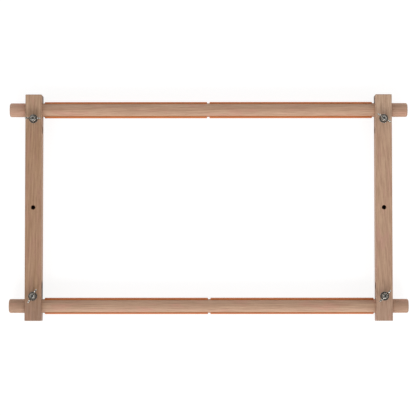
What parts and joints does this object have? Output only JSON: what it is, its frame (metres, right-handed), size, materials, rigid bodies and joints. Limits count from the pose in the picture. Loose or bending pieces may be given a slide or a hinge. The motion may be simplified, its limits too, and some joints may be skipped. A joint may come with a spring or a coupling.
{
  "type": "tapestry frame",
  "caption": "Flat wooden needlework frame: slotted side arms clamp turning round bars by coach bolts and wing nuts, and long spring clips hold the fabric on the bars.",
  "frame": {"origin": "centre of the bounding box, on the surface that the frame lies on", "axes": "+X along the bars to the right, +Y up the side arms, +Z out of the front, towards the wing nuts"},
  "size_m": [0.538, 0.305, 0.0436],
  "materials": {
    "beech_arm": "planed beech, fine sanded, unvarnished",
    "beech_bar": "turned beech dowel, fine sanded, unvarnished",
    "clip_plastic": "extruded orange-brown plastic, satin",
    "zinc_steel": "bright zinc plated steel"
  },
  "bodies": {
    "left_side": {"left_arm": "beech_arm", "top_left_bolt": "zinc_steel", "bottom_left_bolt": "zinc_steel"},
    "right_side": {"right_arm": "beech_arm", "top_right_bolt": "zinc_steel", "bottom_right_bolt": "zinc_steel"},
    "top_bar": {"top_bar": "beech_bar"},
    "bottom_bar": {"bottom_bar": "beech_bar"},
    "top_left_clip": {"top_left_clip": "clip_plastic"},
    "top_right_clip": {"top_right_clip": "clip_plastic"},
    "bottom_left_clip": {"bottom_left_clip": "clip_plastic"},
    "bottom_right_clip": {"bottom_right_clip": "clip_plastic"},
    "top_left_washer": {"top_left_washer": "zinc_steel"},
    "top_left_wing_nut": {"top_left_wing_nut": "zinc_steel"},
    "top_right_washer": {"top_right_washer": "zinc_steel"},
    "top_right_wing_nut": {"top_right_wing_nut": "zinc_steel"},
    "bottom_left_washer": {"bottom_left_washer": "zinc_steel"},
    "bottom_left_wing_nut": {"bottom_left_wing_nut": "zinc_steel"},
    "bottom_right_washer": {"bottom_right_washer": "zinc_steel"},
    "bottom_right_wing_nut": {"bottom_right_wing_nut": "zinc_steel"}
  },
  "joints": [
    {"name": "right_side_slide", "type": "slide", "parent": "left_side", "child": "right_side", "axis": [1, 0, 0], "range_m": [-0.0025, 0.02]},
    {"name": "top_bar_turn", "type": "hinge", "parent": "left_side", "child": "top_bar", "pos_m": [0, 0.1325, 0.0172], "axis": [1, 0, 0], "continuous": true},
    {"name": "bottom_bar_turn", "type": "hinge", "parent": "left_side", "child": "bottom_bar", "pos_m": [0, -0.1325, 0.0172], "axis": [1, 0, 0], "continuous": true},
    {"name": "top_left_clip_turn", "type": "hinge", "parent": "top_bar", "child": "top_left_clip", "pos_m": [0, 0.1325, 0.0172], "axis": [1, 0, 0], "continuous": true},
    {"name": "top_right_clip_turn", "type": "hinge", "parent": "top_bar", "child": "top_right_clip", "pos_m": [0, 0.1325, 0.0172], "axis": [1, 0, 0], "continuous": true},
    {"name": "bottom_left_clip_turn", "type": "hinge", "parent": "bottom_bar", "child": "bottom_left_clip", "pos_m": [0, -0.1325, 0.0172], "axis": [1, 0, 0], "continuous": true},
    {"name": "bottom_right_clip_turn", "type": "hinge", "parent": "bottom_bar", "child": "bottom_right_clip", "pos_m": [0, -0.1325, 0.0172], "axis": [1, 0, 0], "continuous": true},
    {"name": "top_left_nut_rise", "type": "slide", "parent": "left_side", "child": "top_left_washer", "axis": [0, 0, 1], "range_m": [0, 0.004]},
    {"name": "top_left_nut_turn", "type": "hinge", "parent": "top_left_washer", "child": "top_left_wing_nut", "pos_m": [-0.236, 0.1195, 0.0324], "axis": [0, 0, 1], "range_deg": [0, 1800]},
    {"name": "top_right_nut_rise", "type": "slide", "parent": "right_side", "child": "top_right_washer", "axis": [0, 0, 1], "range_m": [0, 0.004]},
    {"name": "top_right_nut_turn", "type": "hinge", "parent": "top_right_washer", "child": "top_right_wing_nut", "pos_m": [0.236, 0.1195, 0.0324], "axis": [0, 0, 1], "range_deg": [0, 1800]},
    {"name": "bottom_left_nut_rise", "type": "slide", "parent": "left_side", "child": "bottom_left_washer", "axis": [0, 0, 1], "range_m": [0, 0.004]},
    {"name": "bottom_left_nut_turn", "type": "hinge", "parent": "bottom_left_washer", "child": "bottom_left_wing_nut", "pos_m": [-0.236, -0.1195, 0.0324], "axis": [0, 0, 1], "range_deg": [0, 1800]},
    {"name": "bottom_right_nut_rise", "type": "slide", "parent": "right_side", "child": "bottom_right_washer", "axis": [0, 0, 1], "range_m": [0, 0.004]},
    {"name": "bottom_right_nut_turn", "type": "hinge", "parent": "bottom_right_washer", "child": "bottom_right_wing_nut", "pos_m": [0.236, -0.1195, 0.0324], "axis": [0, 0, 1], "range_deg": [0, 1800]}
  ],
  "couplings": [
    {"joint": "top_left_nut_rise", "follows": "top_left_nut_turn", "m_per_rad": 0.00012732},
    {"joint": "top_right_nut_rise", "follows": "top_right_nut_turn", "m_per_rad": 0.00012732},
    {"joint": "bottom_left_nut_rise", "follows": "bottom_left_nut_turn", "m_per_rad": 0.00012732},
    {"joint": "bottom_right_nut_rise", "follows": "bottom_right_nut_turn", "m_per_rad": 0.00012732}
  ]
}
